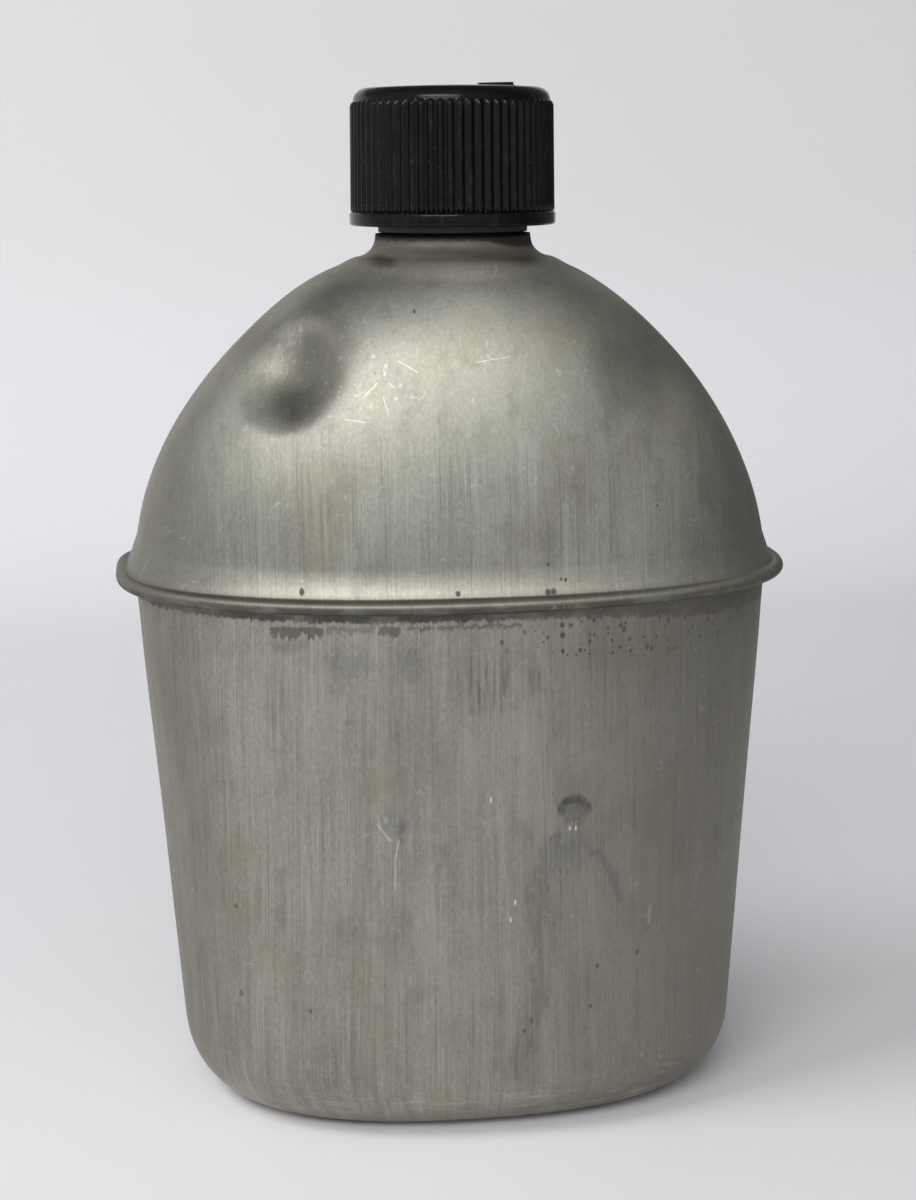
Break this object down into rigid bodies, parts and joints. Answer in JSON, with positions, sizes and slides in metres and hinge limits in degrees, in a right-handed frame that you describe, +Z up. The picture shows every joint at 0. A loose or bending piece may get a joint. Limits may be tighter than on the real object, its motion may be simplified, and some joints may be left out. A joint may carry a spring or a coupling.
{
  "type": "canteen",
  "caption": "Kidney-section drawn steel canteen with a hemmed waist seam, a threaded neck and a ribbed black screw cap with a sealing liner.",
  "frame": {"origin": "middle of the object's box, on the surface that the canteen stands on", "axes": "+Z up along the neck, -Y out of the convex front, X across the body"},
  "size_m": [0.1358, 0.0738, 0.2015],
  "materials": {
    "steel": "worn brushed satin, stained and scratched",
    "black_phenolic": "moulded, semi-gloss, worn",
    "liner_rubber": "matt"
  },
  "bodies": {
    "canteen": {"lower_shell": "steel", "upper_shell": "steel", "neck_collar": "steel"},
    "liner": {"cap_liner": "liner_rubber"},
    "cap": {"cap": "black_phenolic"}
  },
  "joints": [
    {"name": "cap_lift", "type": "slide", "parent": "canteen", "child": "liner", "axis": [0, 0, 1], "range_m": [0, 0.03]},
    {"name": "cap_turn", "type": "hinge", "parent": "liner", "child": "cap", "pos_m": [0, 0.00301, 0.1745], "axis": [0, 0, 1], "range_deg": [0, 2160]}
  ],
  "couplings": [
    {"joint": "cap_lift", "follows": "cap_turn", "m_per_rad": 0.00079577}
  ]
}
